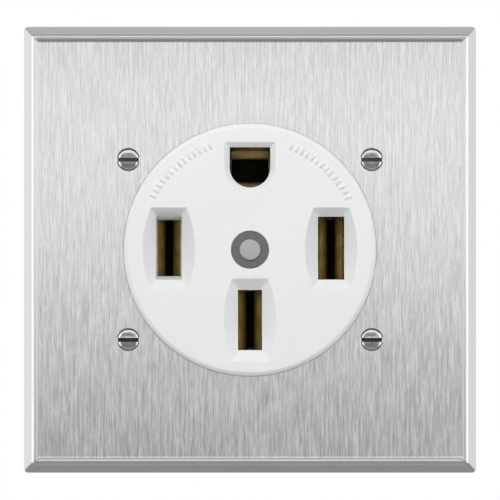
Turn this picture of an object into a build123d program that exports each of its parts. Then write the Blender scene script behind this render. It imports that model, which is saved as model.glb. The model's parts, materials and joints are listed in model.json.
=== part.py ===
from build123d import *
import os
from math import atan, cos, degrees, radians, sqrt, tan

# Flush power receptacle with a two-gang steel cover plate, in millimetres.
# X is right and Z is up, seen from the front. Y runs into the wall, and the wall is the plane Y = 0.
# A depth is a Y value: negative in front of the wall, positive inside the box.

# Cover plate
plate_width = 115.9
plate_height = 114.3
plate_depth = 5.5
plate_sheet = 0.9
bevel_lean = 2.3
crest_width = 1.05
crest_chamfer = 0.45
panel_drop = 0.2
plate_corner = 1.4
opening_gap = 0.12

# Plate screws
screw_spacing_x = 62.2
screw_spacing_z = 46.02
plate_hole_radius = 1.9
sink_radius = 3.3
sink_angle = 82
oval_head_radius = 2.9
oval_dome_height = 1.0
oval_crown_radius = 1.9
screw_radius = 1.75
screw_slot_width = 0.8
screw_slot_depth = 0.9
plate_screw_reach = 5.0

# Mounting strap
strap_sheet = 1.5
ear_margin = 5.93
ear_height = 58.0
strap_height = 69.0
strap_middle = 54.0
flange_depth = 5.0
strap_corner = 4.0
notch_height = 28.0
notch_depth = 9.5
box_spacing_x = 83.34
box_spacing_z = 46.02
box_slot_width = 4.2
box_slot_length = 7.0
strap_opening_radius = 28.0

# Front housing
face_radius = 32.3
face_proud = 2.0
rim_chamfer = 0.7
hub_gap = 0.25
window_width = 6.7
window_height = 16.1
lead_depth = 2.6
hot_reach = 20.75
hot_rise = 0.4
hot_lead_top = 9.0
hot_lead_bottom = 9.9
hot_lead_middle = 13.4
hot_lead_height = 20.8
neutral_window_width = 6.15
neutral_window_height = 15.4
neutral_reach = 18.0
neutral_lead_top = 9.3
neutral_lead_bottom = 9.7
neutral_lead_middle = 13.45
neutral_lead_height = 21.2
ground_window_width = 10.4
ground_window_top = 26.2
ground_window_bottom = 15.9
ground_lead = 1.3
ledge_width = 0.45
ledge_depth = 5.0

# Centre rivet and its washers
rivet_radius = 2.2
rivet_head_radius = 2.65
rivet_head_height = 0.7
rivet_tail_radius = 3.0
rivet_tail_height = 0.9
rivet_tail_taper = 25
washer_radius = 4.7
washer_sheet = 0.8
recess_depth = 1.6

# Contacts, back-up springs and terminal bars
jaw_sheet = 1.15
jaw_start = 1.2
jaw_throat = 5.5
jaw_belly = 10.0
jaw_floor = 16.0
jaw_bend = 0.8
lip_half_gap = 2.9
throat_half_gap = 1.05
belly_half_gap = 2.3
jaw_width = 14.0
pin_lip_half_gap = 4.9
pin_throat_half_gap = 2.8
pin_belly_half_gap = 4.0
pin_jaw_width = 9.5
pin_reach = 20.2
spring_sheet = 0.6
spring_start = 11.0
spring_height = 4.2
spring_spine_gap = 0.25
bar_sheet = 1.2

# Terminal lugs and their screws
lug_window = 8.0
lug_window_width = 8.6
lug_side_wall = 2.0
lug_inner_wall = 1.6
lug_screw_wall = 3.2
lug_length = 11.5
lug_screw_radius = 3.0
lug_screw_head_radius = 4.0
lug_screw_head_height = 2.2
lug_screw_head_gap = 1.4
lug_screw_intrusion = 1.0
lug_screw_slot = 1.2
bond_sheet = 1.0
bond_width = 8.0

# Rear housing and rear cover
rear_wall = 4.0
pocket_gap = 0.2
well_depth = 1.3
floor_wall = 2.3
body_corner = 2.5
body_chamfer = 1.2
wire_hole_radius = 4.3
screw_relief = 1.2
body_screw_offset = 15.5
body_screw_head_radius = 3.3
body_screw_head_height = 2.2
body_screw_bite = 9.0

# Clearances
seat_gap = 0.03
thread_gap = 0.05
shank_gap = 0.15
washer_gap = 0.15

# Sizes that follow from the ones above
panel_front = panel_drop - plate_depth
panel_back = panel_front + plate_sheet
bevel_angle = degrees(atan(bevel_lean / plate_depth))
face_front = panel_front - face_proud
sink_slope = tan(radians(sink_angle / 2))
jaw_back = jaw_floor + jaw_sheet
lug_front = jaw_back + bar_sheet + seat_gap
lug_back = lug_front + lug_length
lug_middle = (lug_front + lug_back) / 2
body_depth = lug_back + rear_wall
lug_side = lug_window_width / 2 + lug_side_wall
bar_width = lug_window_width - 2 * shank_gap
hub_radius = strap_opening_radius - hub_gap
strap_length = box_spacing_x + 2 * ear_margin
washer_seat = face_front + recess_depth


def front_plane(depth):
    """Drawing plane seen from the front, at a depth."""
    return Plane.XZ.offset(-depth)


def turning_plane(x, z):
    """Plane whose first axis is a radius and whose second axis is the depth."""
    return Plane(origin=(x, 0, z), x_dir=(1, 0, 0), z_dir=(0, 0, 1))


def depth_axis(x, z):
    """Axis along the depth through a point of the face."""
    return Axis((x, 0, z), (0, 1, 0))


def pole_plane(outward, depth, centre=(0, 0, 0)):
    """Plane seen from the front: first axis outward from the centre, second axis sideways."""
    return Plane(origin=Vector(*centre) + Vector(0, depth, 0), x_dir=outward, z_dir=(0, -1, 0))


def fold_plane(across, centre=(0, 0, 0)):
    """Plane for a folded sheet's profile: first axis across the sheet, second axis the depth."""
    return Plane(origin=centre, x_dir=across, z_dir=Vector(*across).cross(Vector(0, 1, 0)))


def keep(builder, node):
    builder.part.label = node
    export_step(builder.part, f"parts/{node}.step")


# One entry for each pole: where it points, where its jaw stands and how the jaw's leaves are placed.
# Radial leaves stand inside and outside the blade, sideways leaves stand on its two flanks.
poles = {
    "hot_left": {
        "outward": (-1, 0, 0),
        "across": (-1, 0, 0),
        "centre": (-hot_reach, 0, hot_rise),
        "gaps": (lip_half_gap, throat_half_gap, belly_half_gap),
        "width": jaw_width,
    },
    "hot_right": {
        "outward": (1, 0, 0),
        "across": (1, 0, 0),
        "centre": (hot_reach, 0, hot_rise),
        "gaps": (lip_half_gap, throat_half_gap, belly_half_gap),
        "width": jaw_width,
    },
    "neutral": {
        "outward": (0, 0, -1),
        "across": (1, 0, 0),
        "centre": (0, 0, -neutral_reach),
        "gaps": (lip_half_gap, throat_half_gap, belly_half_gap),
        "width": jaw_width,
    },
    "ground": {
        "outward": (0, 0, 1),
        "across": (0, 0, 1),
        "centre": (0, 0, pin_reach),
        "gaps": (pin_lip_half_gap, pin_throat_half_gap, pin_belly_half_gap),
        "width": pin_jaw_width,
    },
}
for pole in poles.values():
    leaves_face_outward = pole["outward"] == pole["across"]
    half_thickness = pole["gaps"][2] + jaw_sheet
    jaw_reach = abs(Vector(*pole["centre"]).dot(Vector(*pole["outward"])))
    half_along = half_thickness if leaves_face_outward else pole["width"] / 2
    half_sideways = pole["width"] / 2 if leaves_face_outward else half_thickness
    sideways_centre = Vector(*pole["centre"]) - Vector(*pole["outward"]) * jaw_reach
    pole["line"] = (sideways_centre.X, sideways_centre.Y, sideways_centre.Z)
    pole["jaw_inner"] = jaw_reach - half_along
    pole["jaw_outer"] = jaw_reach + half_along
    pole["jaw_side"] = half_sideways
    pole["tail"] = pole["jaw_inner"] + bar_sheet
    pole["window_outer"] = pole["tail"] + lug_window
    pole["lug_inner"] = pole["jaw_inner"] - lug_inner_wall
    pole["lug_outer"] = pole["window_outer"] + lug_screw_wall
    pole["head_inner"] = pole["lug_outer"] + lug_screw_head_gap
    pole["head_outer"] = pole["head_inner"] + lug_screw_head_height
    pole["wire"] = pole["tail"] + lug_window / 2
    pole["pocket_outer"] = max(pole["lug_outer"], pole["jaw_outer"] + spring_sheet) + 2 * pocket_gap


# Wall plate: a pressed pan with a bevelled rim, a rounded crest and a slightly sunk panel
cavity_height = -panel_back
rim_wall = plate_sheet / cos(radians(bevel_angle))
cavity_lean = cavity_height * tan(radians(bevel_angle))
rim_sections = [
    (0, 0),
    (crest_chamfer - plate_depth, bevel_lean * (1 - crest_chamfer / plate_depth)),
    (-plate_depth, bevel_lean + crest_chamfer / 2),
]
dimple_slope = plate_sheet / cos(radians(sink_angle / 2))
dimple_depth = (sink_radius - plate_hole_radius) / sink_slope

with BuildPart() as wall_plate:
    for depth, margin in rim_sections:
        with BuildSketch(front_plane(depth)):
            RectangleRounded(plate_width - 2 * margin, plate_height - 2 * margin, plate_corner)
    loft(ruled=True)
    with BuildSketch(front_plane(-plate_depth)):
        panel_margin = bevel_lean + crest_width
        RectangleRounded(plate_width - 2 * panel_margin, plate_height - 2 * panel_margin, plate_corner)
    extrude(amount=-panel_drop, mode=Mode.SUBTRACT)
    with BuildSketch(front_plane(0)):
        Rectangle(plate_width - 2 * rim_wall, plate_height - 2 * rim_wall)
    with BuildSketch(front_plane(panel_back)):
        cavity_margin = rim_wall + cavity_lean
        Rectangle(plate_width - 2 * cavity_margin, plate_height - 2 * cavity_margin)
    loft(mode=Mode.SUBTRACT)
    with Locations(front_plane(panel_back)):
        with GridLocations(screw_spacing_x, screw_spacing_z, 2, 2):
            Cone(
                bottom_radius=plate_hole_radius + dimple_slope,
                top_radius=sink_radius - plate_sheet * sink_slope + dimple_slope,
                height=dimple_depth - plate_sheet,
                align=(Align.CENTER, Align.CENTER, Align.MAX),
            )
    with Locations(front_plane(panel_front)):
        with GridLocations(screw_spacing_x, screw_spacing_z, 2, 2):
            Cone(
                bottom_radius=plate_hole_radius,
                top_radius=sink_radius,
                height=dimple_depth,
                align=(Align.CENTER, Align.CENTER, Align.MAX),
                mode=Mode.SUBTRACT,
            )
    with BuildSketch(front_plane(0)):
        Circle(face_radius + opening_gap)
    extrude(amount=2 * plate_depth, mode=Mode.SUBTRACT)
keep(wall_plate, "wall_plate")


# Plate screws: oval heads sunk in the dimples, threaded into the strap
head_edge = panel_front + (sink_radius - oval_head_radius) / sink_slope - seat_gap
head_foot = head_edge + (oval_head_radius - screw_radius) / sink_slope
dome_top = head_edge - oval_dome_height
plate_screw_places = [
    (-screw_spacing_x / 2, screw_spacing_z / 2),
    (screw_spacing_x / 2, screw_spacing_z / 2),
    (-screw_spacing_x / 2, -screw_spacing_z / 2),
    (screw_spacing_x / 2, -screw_spacing_z / 2),
]
for number, (screw_x, screw_z) in enumerate(plate_screw_places, start=1):
    with BuildPart() as plate_screw:
        with BuildSketch(turning_plane(screw_x, screw_z)):
            with BuildLine():
                Polyline(
                    (0, dome_top),
                    (oval_crown_radius, dome_top),
                    (oval_head_radius, head_edge),
                    (screw_radius, head_foot),
                    (screw_radius, plate_screw_reach),
                    (0, plate_screw_reach),
                    close=True,
                )
            make_face()
        revolve(axis=depth_axis(screw_x, screw_z))
        with BuildSketch(front_plane(dome_top)):
            with Locations((screw_x, screw_z)):
                Rectangle(2 * sink_radius, screw_slot_width)
        extrude(amount=-screw_slot_depth, mode=Mode.SUBTRACT)
    keep(plate_screw, f"plate_screw_{number}")


# Mounting strap: ears left and right, a ring round the hub and stiffening flanges above and below
with BuildPart() as mounting_strap:
    with BuildSketch(front_plane(0)):
        RectangleRounded(strap_length, ear_height, strap_corner)
        Rectangle(strap_middle, strap_height - 2 * strap_sheet)
        for side in (-1, 1):
            with Locations((side * strap_length / 2, 0)):
                RectangleRounded(2 * notch_depth, notch_height, strap_corner, mode=Mode.SUBTRACT)
        Circle(strap_opening_radius, mode=Mode.SUBTRACT)
        with GridLocations(box_spacing_x, box_spacing_z, 2, 2):
            SlotOverall(box_slot_length, box_slot_width, mode=Mode.SUBTRACT)
        with GridLocations(screw_spacing_x, screw_spacing_z, 2, 2):
            Circle(screw_radius + thread_gap, mode=Mode.SUBTRACT)
    extrude(amount=strap_sheet)
    with BuildSketch(Plane.YZ.offset(-strap_middle / 2)):
        for side in (-1, 1):
            with Locations((-strap_sheet, side * (strap_height / 2 - strap_sheet / 2))):
                Rectangle(flange_depth + strap_sheet, strap_sheet, align=(Align.MIN, Align.CENTER))
    extrude(amount=strap_middle)
    fold_edges = mounting_strap.edges().filter_by(Axis.X).group_by(Axis.Y)[0]
    outer_folds = [edge for edge in fold_edges if abs(edge.center().Z) > strap_height / 2 - strap_sheet / 2]
    fillet(outer_folds, radius=strap_sheet * 0.9)
keep(mounting_strap, "mounting_strap")


# Front housing: the moulded face with its sloped lead-ins and blade windows
def barrel_outline(top, bottom, middle, height):
    """Outline of a lead-in: straight top and bottom, sides bulging out between them."""
    Line((-top / 2, height / 2), (top / 2, height / 2))
    ThreePointArc((top / 2, height / 2), (middle / 2, 0), (bottom / 2, -height / 2))
    Line((bottom / 2, -height / 2), (-bottom / 2, -height / 2))
    ThreePointArc((-bottom / 2, -height / 2), (-middle / 2, 0), (-top / 2, height / 2))


def ground_outline(spread):
    """Outline of the ground window: flat top, straight sides, round bottom."""
    half = ground_window_width / 2 + spread
    top = ground_window_top + spread
    spring_line = ground_window_bottom + ground_window_width / 2
    Line((-half, spring_line), (-half, top))
    Line((-half, top), (half, top))
    Line((half, top), (half, spring_line))
    ThreePointArc((half, spring_line), (0, spring_line - half), (-half, spring_line))


blade_slots = [
    (-hot_reach, hot_rise, window_width, window_height, hot_lead_top, hot_lead_bottom,
     hot_lead_middle, hot_lead_height),
    (hot_reach, hot_rise, window_width, window_height, hot_lead_top, hot_lead_bottom,
     hot_lead_middle, hot_lead_height),
    (0, -neutral_reach, neutral_window_width, neutral_window_height, neutral_lead_top,
     neutral_lead_bottom, neutral_lead_middle, neutral_lead_height),
]

with BuildPart() as front_housing:
    with BuildSketch(front_plane(-strap_sheet)):
        Circle(face_radius)
    extrude(amount=-strap_sheet - face_front)
    chamfer(front_housing.faces().sort_by(Axis.Y)[0].edges(), length=rim_chamfer)
    with BuildSketch(front_plane(0)):
        Circle(hub_radius)
    extrude(amount=strap_sheet)
    for slot_x, slot_z, width, height, top, bottom, middle, lead_height in blade_slots:
        lead_plane = Plane(origin=(slot_x, face_front, slot_z), x_dir=(1, 0, 0), z_dir=(0, -1, 0))
        lead_slope = (lead_height - height) / 2 / lead_depth
        with BuildSketch(lead_plane):
            with BuildLine():
                barrel_outline(top, bottom, middle, lead_height)
            make_face()
        side_reach = (middle - width) / 2 / lead_slope
        extrude(amount=-side_reach, taper=degrees(atan(lead_slope)), mode=Mode.SUBTRACT)
        with BuildSketch(lead_plane):
            Rectangle(width, height)
        extrude(amount=2 * face_front, mode=Mode.SUBTRACT)
    with BuildSketch(front_plane(face_front)):
        with BuildLine():
            ground_outline(ground_lead)
        make_face()
    extrude(amount=-ground_lead, taper=45, mode=Mode.SUBTRACT)
    with BuildSketch(front_plane(face_front)):
        with BuildLine():
            ground_outline(0)
        make_face()
    extrude(amount=2 * face_front, mode=Mode.SUBTRACT)
    with BuildSketch(front_plane(face_front)):
        Circle(washer_radius + washer_gap)
    extrude(amount=-recess_depth, mode=Mode.SUBTRACT)
    with BuildSketch(front_plane(0)):
        Circle(rivet_radius + shank_gap)
    extrude(amount=-face_front, mode=Mode.SUBTRACT)
    with BuildSketch(front_plane(0)):
        with Locations((-hot_reach, hot_rise)):
            Rectangle(window_width, window_height)
            Rectangle(window_width - 2 * ledge_width, window_height - 4 * ledge_width, mode=Mode.SUBTRACT)
    extrude(amount=-face_front - ledge_depth)
keep(front_housing, "front_housing")


# Rear housing: the moulded body behind the strap, with a pocket for each pole
screw_line = (screw_spacing_x + screw_spacing_z) / 2 - (screw_radius + screw_relief) * sqrt(2)
body_half_width = poles["hot_right"]["head_outer"] + well_depth
body_top = poles["ground"]["head_outer"] + well_depth
body_bottom = max(
    poles["neutral"]["head_outer"] + well_depth,
    poles["neutral"]["pocket_outer"] + floor_wall,
)


def body_outline():
    """Outline of the moulded body: a block whose corners are cut off to clear the plate screws."""
    Polyline(
        (body_half_width, screw_line - body_half_width),
        (screw_line - body_top, body_top),
        (body_top - screw_line, body_top),
        (-body_half_width, screw_line - body_half_width),
        (-body_half_width, body_half_width - screw_line),
        (body_bottom - screw_line, -body_bottom),
        (screw_line - body_bottom, -body_bottom),
        (body_half_width, body_half_width - screw_line),
        close=True,
    )


with BuildPart() as rear_housing:
    with BuildSketch(front_plane(0)):
        with BuildLine():
            body_outline()
        make_face()
    extrude(amount=-lug_back)
    fillet(rear_housing.edges().filter_by(Axis.Y), radius=body_corner)
    for pole in poles.values():
        with BuildSketch(pole_plane(pole["outward"], 0, pole["line"])):
            inner = pole["lug_inner"] - pocket_gap
            outer = pole["pocket_outer"]
            with Locations(((inner + outer) / 2, 0)):
                Rectangle(outer - inner, 2 * (lug_side + pocket_gap))
        extrude(amount=-lug_back, mode=Mode.SUBTRACT)
        with BuildSketch(pole_plane(pole["outward"], 0, pole["line"])):
            side = pole["jaw_side"] + spring_sheet + 2 * pocket_gap
            inner = pole["jaw_inner"] - spring_sheet - pocket_gap
            outer = pole["jaw_outer"] + spring_sheet + pocket_gap
            with Locations(((inner + outer) / 2, 0)):
                Rectangle(outer - inner, 2 * side)
        extrude(amount=-lug_front, mode=Mode.SUBTRACT)
        well_centre = Vector(*pole["line"]) + Vector(0, lug_middle, 0)
        well_start = well_centre + Vector(*pole["outward"]) * pole["lug_outer"]
        well_radius = lug_screw_head_radius + 2 * pocket_gap
        with BuildSketch(Plane(origin=well_start, x_dir=(0, 1, 0), z_dir=pole["outward"])):
            Circle(well_radius)
            Rectangle(lug_length, 2 * well_radius, align=(Align.MIN, Align.CENTER))
        extrude(amount=face_radius, mode=Mode.SUBTRACT)
    ground = poles["ground"]
    with BuildSketch(pole_plane(ground["outward"], 0)):
        with Locations((ground["lug_outer"] + bond_sheet / 2, 0)):
            Rectangle(bond_sheet + 4 * pocket_gap, bond_width + 2 * pocket_gap)
    extrude(amount=-lug_back, mode=Mode.SUBTRACT)
    with BuildSketch(pole_plane(ground["outward"], 0)):
        with Locations((ground["lug_outer"], 0)):
            Rectangle(body_top, bond_width + 2 * pocket_gap, align=(Align.MIN, Align.CENTER))
    extrude(amount=-bond_sheet - 2 * pocket_gap, mode=Mode.SUBTRACT)
    with BuildSketch(front_plane(0)):
        Circle(rivet_radius + shank_gap)
    extrude(amount=-lug_back, mode=Mode.SUBTRACT)
    with BuildSketch(front_plane(lug_back)):
        with GridLocations(2 * body_screw_offset, 2 * body_screw_offset, 2, 2):
            Circle(screw_radius + thread_gap)
    extrude(amount=body_screw_bite, mode=Mode.SUBTRACT)
keep(rear_housing, "rear_housing")


# Rear cover: closes the pockets and leads each wire into its lug
with BuildPart() as rear_cover:
    with BuildSketch(front_plane(lug_back)):
        with BuildLine():
            body_outline()
        make_face()
    extrude(amount=-rear_wall)
    fillet(rear_cover.edges().filter_by(Axis.Y), radius=body_corner)
    chamfer(rear_cover.faces().sort_by(Axis.Y)[-1].edges(), length=body_chamfer)
    for pole in poles.values():
        with BuildSketch(pole_plane(pole["outward"], lug_back, pole["line"])):
            with Locations((pole["wire"], 0)):
                Circle(wire_hole_radius)
        extrude(amount=-rear_wall, mode=Mode.SUBTRACT)
    with BuildSketch(front_plane(lug_back)):
        Circle(rivet_radius + shank_gap)
        with GridLocations(2 * body_screw_offset, 2 * body_screw_offset, 2, 2):
            Circle(screw_radius + shank_gap)
    extrude(amount=-rear_wall, mode=Mode.SUBTRACT)
keep(rear_cover, "rear_cover")


# Body screws: slotted heads on the rear cover, threaded into the rear housing
for number, (side_x, side_z) in enumerate([(-1, 1), (1, 1), (-1, -1), (1, -1)], start=1):
    screw_x = side_x * body_screw_offset
    screw_z = side_z * body_screw_offset
    with BuildPart() as body_screw:
        with BuildSketch(front_plane(body_depth)):
            with Locations((screw_x, screw_z)):
                Circle(body_screw_head_radius)
        extrude(amount=-body_screw_head_height)
        with BuildSketch(front_plane(body_depth)):
            with Locations((screw_x, screw_z)):
                Circle(screw_radius)
        extrude(amount=rear_wall + body_screw_bite - shank_gap)
        with BuildSketch(front_plane(body_depth + body_screw_head_height)):
            with Locations((screw_x, screw_z)):
                Rectangle(3 * body_screw_head_radius, screw_slot_width, rotation=90)
        extrude(amount=screw_slot_depth, mode=Mode.SUBTRACT)
    keep(body_screw, f"body_screw_{number}")


# Contacts, back-up springs, terminal bars, lugs and clamping screws
def jaw_line(lip_half_gap, throat_half_gap, belly_half_gap):
    """Middle line of a jaw's sheet, down one leaf, across the floor and up the other leaf."""
    lip = lip_half_gap + jaw_sheet / 2
    throat = throat_half_gap + jaw_sheet / 2
    belly = belly_half_gap + jaw_sheet / 2
    floor = jaw_floor + jaw_sheet / 2
    Polyline((lip, jaw_start), (throat, jaw_throat), (belly, jaw_belly))
    FilletPolyline(
        (belly, jaw_belly),
        (belly, floor),
        (-belly, floor),
        (-belly, jaw_belly),
        radius=jaw_bend + jaw_sheet / 2,
    )
    Polyline((-belly, jaw_belly), (-throat, jaw_throat), (-lip, jaw_start))


for name, pole in poles.items():
    outward = pole["outward"]
    across = pole["across"]
    centre = pole["centre"]
    line = pole["line"]
    half_width = pole["width"] / 2
    half_thickness = pole["gaps"][2] + jaw_sheet

    with BuildPart() as contact:
        with BuildSketch(fold_plane(across, centre)):
            with BuildLine():
                jaw_line(*pole["gaps"])
            trace(line_width=jaw_sheet)
        extrude(amount=half_width, both=True)
    keep(contact, f"{name}_contact")

    spring_centre = Vector(*centre) + Vector(0, spring_start, 0)
    spring_plane = Plane(origin=spring_centre, x_dir=across, z_dir=(0, -1, 0))
    leaf = half_thickness + seat_gap + spring_sheet / 2
    spine = half_width + spring_spine_gap + spring_sheet / 2
    spine_side = 1 if spring_plane.y_dir.dot(Vector(*outward)) >= 0 else -1
    with BuildPart() as spring:
        with BuildSketch(spring_plane):
            with BuildLine():
                FilletPolyline(
                    (leaf, -spine_side * half_width),
                    (leaf, spine_side * spine),
                    (-leaf, spine_side * spine),
                    (-leaf, -spine_side * half_width),
                    radius=spring_sheet,
                )
            trace(line_width=spring_sheet)
        extrude(amount=-spring_height)
    keep(spring, f"{name}_spring")

    with BuildPart() as bar:
        with BuildSketch(fold_plane(outward, line)):
            with BuildLine():
                FilletPolyline(
                    (pole["jaw_outer"], jaw_back + bar_sheet / 2),
                    (pole["jaw_inner"] + bar_sheet / 2, jaw_back + bar_sheet / 2),
                    (pole["jaw_inner"] + bar_sheet / 2, lug_back),
                    radius=jaw_bend + bar_sheet / 2,
                )
            trace(line_width=bar_sheet)
        extrude(amount=min(bar_width / 2, pole["jaw_side"]), both=True)
    keep(bar, f"{name}_bar")

    with BuildPart() as lug:
        with BuildSketch(pole_plane(outward, lug_front, line)):
            with Locations(((pole["lug_inner"] + pole["lug_outer"]) / 2, 0)):
                Rectangle(pole["lug_outer"] - pole["lug_inner"], 2 * lug_side)
            with Locations(((pole["jaw_inner"] + pole["window_outer"]) / 2, 0)):
                lug_window_length = pole["window_outer"] - pole["jaw_inner"] + 2 * seat_gap
                Rectangle(lug_window_length, lug_window_width, mode=Mode.SUBTRACT)
        extrude(amount=-lug_length)
        screw_centre = Vector(*line) + Vector(0, lug_middle, 0)
        with BuildSketch(Plane(origin=screw_centre + Vector(*outward) * pole["tail"], z_dir=outward)):
            Circle(lug_screw_radius + thread_gap)
        extrude(amount=2 * lug_window, mode=Mode.SUBTRACT)
    keep(lug, f"{name}_lug")

    screw_start = screw_centre + Vector(*outward) * (pole["window_outer"] - lug_screw_intrusion)
    head_start = screw_centre + Vector(*outward) * pole["head_inner"]
    head_end = screw_centre + Vector(*outward) * pole["head_outer"]
    with BuildPart() as lug_screw:
        with BuildSketch(Plane(origin=screw_start, z_dir=outward)):
            Circle(lug_screw_radius)
        extrude(amount=pole["head_inner"] - pole["window_outer"] + lug_screw_intrusion)
        with BuildSketch(Plane(origin=head_start, x_dir=(0, 1, 0), z_dir=outward)):
            RegularPolygon(lug_screw_head_radius, 6)
        extrude(amount=lug_screw_head_height)
        with BuildSketch(Plane(origin=head_end, x_dir=(0, 1, 0), z_dir=outward)):
            Rectangle(3 * lug_screw_head_radius, lug_screw_slot)
        extrude(amount=-lug_screw_head_height / 2, mode=Mode.SUBTRACT)
    keep(lug_screw, f"{name}_screw")


# Bonding strip: from the strap's back, along the ground lug, held by the ground screw
with BuildPart() as bonding_strip:
    with BuildSketch(fold_plane(ground["outward"])):
        with BuildLine():
            FilletPolyline(
                (body_top - pocket_gap, bond_sheet / 2),
                (ground["lug_outer"] + bond_sheet / 2, bond_sheet / 2),
                (ground["lug_outer"] + bond_sheet / 2, lug_back - pocket_gap),
                radius=jaw_bend + bond_sheet / 2,
            )
        trace(line_width=bond_sheet)
    extrude(amount=bond_width / 2, both=True)
    with BuildSketch(Plane(origin=(0, lug_middle, ground["lug_outer"]), z_dir=ground["outward"])):
        Circle(lug_screw_radius + shank_gap)
    extrude(amount=2 * bond_sheet, mode=Mode.SUBTRACT)
keep(bonding_strip, "bonding_strip")


# Centre rivet and its two washers
with BuildPart() as front_washer:
    with BuildSketch(front_plane(washer_seat)):
        Circle(washer_radius)
        Circle(rivet_radius + shank_gap, mode=Mode.SUBTRACT)
    extrude(amount=washer_sheet)
keep(front_washer, "front_washer")

with BuildPart() as rear_washer:
    with BuildSketch(front_plane(body_depth)):
        Circle(washer_radius)
        Circle(rivet_radius + shank_gap, mode=Mode.SUBTRACT)
    extrude(amount=-washer_sheet)
keep(rear_washer, "rear_washer")

rivet_front = washer_seat - washer_sheet
rivet_back = body_depth + washer_sheet
with BuildPart() as centre_rivet:
    with BuildSketch(front_plane(rivet_front)):
        Circle(rivet_head_radius)
    extrude(amount=rivet_head_height)
    chamfer(centre_rivet.faces().sort_by(Axis.Y)[0].edges(), length=rivet_head_height / 3)
    with BuildSketch(front_plane(rivet_front)):
        Circle(rivet_radius)
    extrude(amount=rivet_front - rivet_back)
    with BuildSketch(front_plane(rivet_back)):
        Circle(rivet_tail_radius)
    extrude(amount=-rivet_tail_height, taper=rivet_tail_taper)
keep(centre_rivet, "centre_rivet")
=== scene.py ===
import json
import math
import bmesh
import bpy
from mathutils import Matrix, Vector


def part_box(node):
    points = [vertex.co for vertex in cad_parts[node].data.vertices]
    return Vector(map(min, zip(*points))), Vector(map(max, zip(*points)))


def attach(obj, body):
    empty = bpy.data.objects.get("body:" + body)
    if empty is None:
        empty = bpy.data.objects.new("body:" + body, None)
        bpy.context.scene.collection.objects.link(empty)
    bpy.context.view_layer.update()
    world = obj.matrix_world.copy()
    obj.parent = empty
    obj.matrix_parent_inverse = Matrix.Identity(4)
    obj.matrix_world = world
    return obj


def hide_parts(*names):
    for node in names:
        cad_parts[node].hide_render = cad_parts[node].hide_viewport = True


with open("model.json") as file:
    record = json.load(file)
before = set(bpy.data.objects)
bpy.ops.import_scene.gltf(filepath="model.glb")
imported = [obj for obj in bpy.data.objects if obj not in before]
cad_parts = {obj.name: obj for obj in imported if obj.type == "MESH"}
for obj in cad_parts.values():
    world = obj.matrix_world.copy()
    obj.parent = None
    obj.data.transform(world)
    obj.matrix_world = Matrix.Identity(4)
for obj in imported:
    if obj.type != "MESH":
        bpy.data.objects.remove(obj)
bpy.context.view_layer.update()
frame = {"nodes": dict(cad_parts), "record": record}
nodes = frame["nodes"]
scene = bpy.context.scene
mm = 0.001


# Camera: straight on, far off with a long lens, so that the plate fills the picture as in the photo
cameraSettings = {
    "pictureSize": 500,  # pixels
    "plateWidthInPicture": 452.0,  # pixels
    "plateCentreX": 250.0,  # pixels
    "plateCentreY": 249.75,  # pixels
    "distance": 1.5,  # metres from the wall plane
    "sensor": 36.0,
}


def makeCamera(settings):
    low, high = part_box("wall_plate")
    metresPerPixel = (high.x - low.x) / settings["plateWidthInPicture"]
    pictureWidth = settings["pictureSize"] * metresPerPixel
    data = bpy.data.cameras.new("shopCamera")
    data.sensor_width = settings["sensor"]
    data.lens = settings["sensor"] * settings["distance"] / pictureWidth
    data.clip_start = 0.05
    data.clip_end = 20.0
    camera = bpy.data.objects.new("shopCamera", data)
    scene.collection.objects.link(camera)
    half = settings["pictureSize"] / 2
    aimX = (low.x + high.x) / 2 + (half - settings["plateCentreX"]) * metresPerPixel
    aimZ = (low.z + high.z) / 2 + (settings["plateCentreY"] - half) * metresPerPixel
    camera.location = (aimX, -settings["distance"], aimZ)
    camera.rotation_euler = (math.radians(90), 0, 0)
    scene.camera = camera


makeCamera(cameraSettings)
print("camera ready")


# Light: white round about for the camera, and a soft studio for what the metal mirrors
studio = {
    "skyTop": (0.38, 0.38, 0.38),
    "skyBottom": (0.16, 0.16, 0.16),
    "skySpan": 0.9,  # the rise or fall of a look, at most 1, that meets the full top or bottom colour
    "whiteStrength": 1.0,
    "floorColor": (0.62, 0.62, 0.62),
    "floorRoughness": 0.8,
    "floorDrop": 0.7,  # metres below the plate's centre
    "floorRadius": 0.9,
}
lamps = {
    "frontStrip": {"place": (0.04, -0.62, 0.042), "aim": (0.0, 0.0, 0.01), "size": (1.3, 0.106),
                   "power": 0.67},
    "keySoftbox": {"place": (-0.02, -0.62, 0.3), "aim": (0.0, 0.0, 0.0), "size": (0.7, 0.4), "power": 3.65,
                   "mirrored": False},
    "leftSoftbox": {"place": (-0.6, 0.5, 0.05), "aim": (0.0, 0.0, 0.0), "size": (0.6, 0.8), "power": 1.08},
    "rightSoftbox": {"place": (0.6, 0.5, 0.05), "aim": (0.0, 0.0, 0.0), "size": (0.6, 0.8), "power": 0.9},
    "leftCard": {"place": (-0.69, -0.147, 0.0), "aim": (0.0, 0.0, 0.0), "size": (0.76, 1.0), "power": 3.15,
                 "spread": False},
    "rightCard": {"place": (0.69, -0.147, 0.0), "aim": (0.0, 0.0, 0.0), "size": (0.76, 1.0), "power": 3.05,
                  "spread": False},
    "topCard": {"place": (0.0, -0.42, 0.52), "aim": (0.0, 0.0, 0.0), "size": (1.3, 0.3), "power": 1.05,
                "spread": False},
    "rearCard": {"place": (0.0, 0.5, 0.6), "aim": (0.0, 0.0, 0.0), "size": (1.3, 0.5), "power": 0.55,
                 "spread": False},
}


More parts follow.
